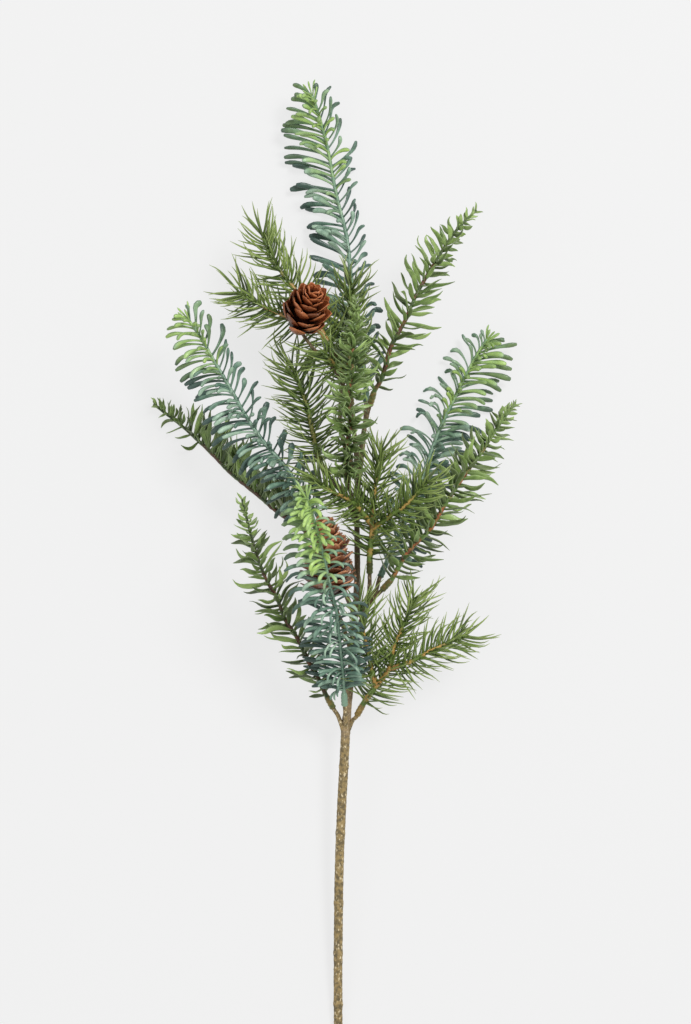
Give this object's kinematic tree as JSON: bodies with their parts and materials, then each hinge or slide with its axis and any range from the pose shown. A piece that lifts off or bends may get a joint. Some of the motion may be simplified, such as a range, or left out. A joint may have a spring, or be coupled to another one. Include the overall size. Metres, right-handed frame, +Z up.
{
  "type": "evergreen branch with cones",
  "caption": "Long bare stem with a fan of mixed fir, spruce and pine needle sprays near the top and round and long cones, lying flat.",
  "frame": {"origin": "middle of the branch's outline seen from above, on the surface it lies on", "axes": "+Y along the stem towards the top of the branch, +X to its right as the picture shows it, +Z up from the surface towards the viewer"},
  "size_m": [0.2286, 0.6124, 0.126],
  "materials": {
    "bark": "rough olive-brown bark",
    "fir_needles": "satin blue-green, lime at the tips",
    "spruce_needles": "satin grass green",
    "pine_needles": "satin green with orange-brown twigs",
    "dark_cone": "satin red-brown",
    "light_cone": "satin orange-brown"
  },
  "bodies": {
    "root": {"main_stem": "bark", "fir_spray_front": "fir_needles", "fir_spray_top": "fir_needles", "fir_spray_left": "fir_needles", "fir_spray_right": "fir_needles", "spruce_spray_centre": "spruce_needles", "spruce_spray_upper_right": "spruce_needles", "spruce_spray_right": "spruce_needles", "spruce_spray_left": "spruce_needles", "spruce_spray_lower_left": "spruce_needles", "pine_spray_centre": "pine_needles", "pine_spray_lower_right": "pine_needles", "pine_spray_left": "pine_needles", "pine_spray_upper_left": "pine_needles", "pine_spray_upper_centre": "pine_needles", "round_cone": "dark_cone", "long_cone": "light_cone"}
  },
  "joints": []
}
